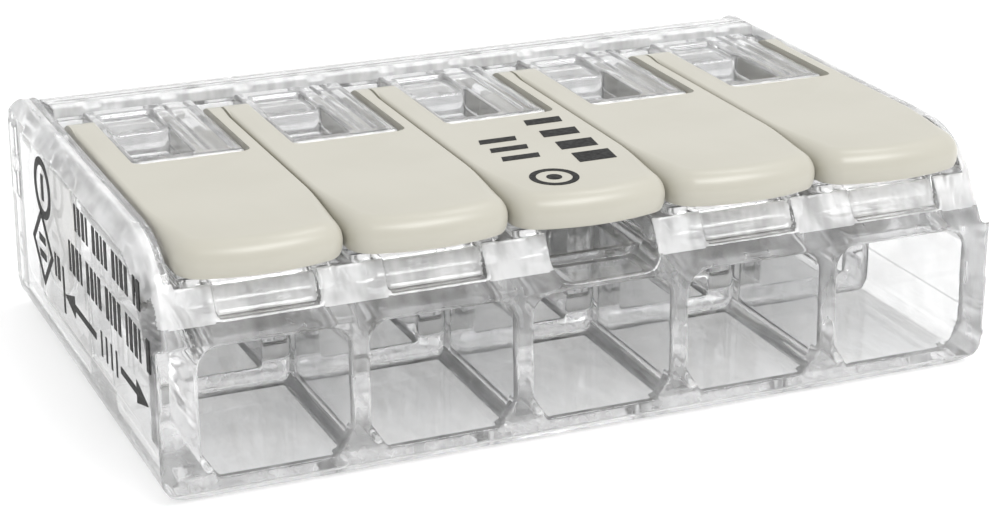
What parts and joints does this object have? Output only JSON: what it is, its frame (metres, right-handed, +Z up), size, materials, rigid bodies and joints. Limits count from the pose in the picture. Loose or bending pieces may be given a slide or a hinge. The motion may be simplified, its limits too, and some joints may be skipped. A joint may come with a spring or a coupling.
{
  "type": "lever wire connector",
  "caption": "Clear flat wire connector with a row of square wire entries along the front, ivory levers on top that open the spring clamps, and a common metal busbar inside.",
  "frame": {"origin": "centre of the underside, on the surface the connector rests on", "axes": "+X along the row of poles, to the right when looking at the wire entries; -Y is the side the wires enter; +Z up through the levers"},
  "size_m": [0.0298, 0.0186, 0.0083],
  "materials": {
    "clear_housing": "clear gloss polycarbonate",
    "clear_cover": "clear gloss polycarbonate",
    "ivory_lever": "satin moulded",
    "tinned_copper": "bright tin plating",
    "spring_steel": "rolled stainless strip"
  },
  "bodies": {
    "housing": {"housing": "clear_housing", "rear_cover": "clear_cover", "busbar": "tinned_copper", "clamp_spring_1": "spring_steel", "clamp_spring_2": "spring_steel", "clamp_spring_3": "spring_steel", "clamp_spring_4": "spring_steel", "clamp_spring_5": "spring_steel"},
    "lever_1": {"lever_1": "ivory_lever"},
    "clamp_leg_1": {"clamp_leg_1": "spring_steel"},
    "lever_2": {"lever_2": "ivory_lever"},
    "clamp_leg_2": {"clamp_leg_2": "spring_steel"},
    "lever_3": {"lever_3": "ivory_lever"},
    "clamp_leg_3": {"clamp_leg_3": "spring_steel"},
    "lever_4": {"lever_4": "ivory_lever"},
    "clamp_leg_4": {"clamp_leg_4": "spring_steel"},
    "lever_5": {"lever_5": "ivory_lever"},
    "clamp_leg_5": {"clamp_leg_5": "spring_steel"}
  },
  "joints": [
    {"name": "lever_1_swing", "type": "hinge", "parent": "housing", "child": "lever_1", "pos_m": [-0.01105, 0.0033, 0.0054], "axis": [-1, 0, 0], "range_deg": [0, 90]},
    {"name": "lever_2_swing", "type": "hinge", "parent": "housing", "child": "lever_2", "pos_m": [-0.00545, 0.0033, 0.0054], "axis": [-1, 0, 0], "range_deg": [0, 90]},
    {"name": "lever_3_swing", "type": "hinge", "parent": "housing", "child": "lever_3", "pos_m": [0.00015, 0.0033, 0.0054], "axis": [-1, 0, 0], "range_deg": [0, 90]},
    {"name": "lever_4_swing", "type": "hinge", "parent": "housing", "child": "lever_4", "pos_m": [0.00575, 0.0033, 0.0054], "axis": [-1, 0, 0], "range_deg": [0, 90]},
    {"name": "lever_5_swing", "type": "hinge", "parent": "housing", "child": "lever_5", "pos_m": [0.01135, 0.0033, 0.0054], "axis": [-1, 0, 0], "range_deg": [0, 90]},
    {"name": "clamp_1_lift", "type": "hinge", "parent": "housing", "child": "clamp_leg_1", "pos_m": [-0.01105, -0.0032, 0.0059], "axis": [1, 0, 0], "range_deg": [0, 25]},
    {"name": "clamp_2_lift", "type": "hinge", "parent": "housing", "child": "clamp_leg_2", "pos_m": [-0.00545, -0.0032, 0.0059], "axis": [1, 0, 0], "range_deg": [0, 25]},
    {"name": "clamp_3_lift", "type": "hinge", "parent": "housing", "child": "clamp_leg_3", "pos_m": [0.00015, -0.0032, 0.0059], "axis": [1, 0, 0], "range_deg": [0, 25]},
    {"name": "clamp_4_lift", "type": "hinge", "parent": "housing", "child": "clamp_leg_4", "pos_m": [0.00575, -0.0032, 0.0059], "axis": [1, 0, 0], "range_deg": [0, 25]},
    {"name": "clamp_5_lift", "type": "hinge", "parent": "housing", "child": "clamp_leg_5", "pos_m": [0.01135, -0.0032, 0.0059], "axis": [1, 0, 0], "range_deg": [0, 25]}
  ],
  "couplings": [
    {"joint": "clamp_1_lift", "follows": "lever_1_swing", "ratio": 0.2777},
    {"joint": "clamp_2_lift", "follows": "lever_2_swing", "ratio": 0.2777},
    {"joint": "clamp_3_lift", "follows": "lever_3_swing", "ratio": 0.2777},
    {"joint": "clamp_4_lift", "follows": "lever_4_swing", "ratio": 0.2777},
    {"joint": "clamp_5_lift", "follows": "lever_5_swing", "ratio": 0.2777}
  ]
}
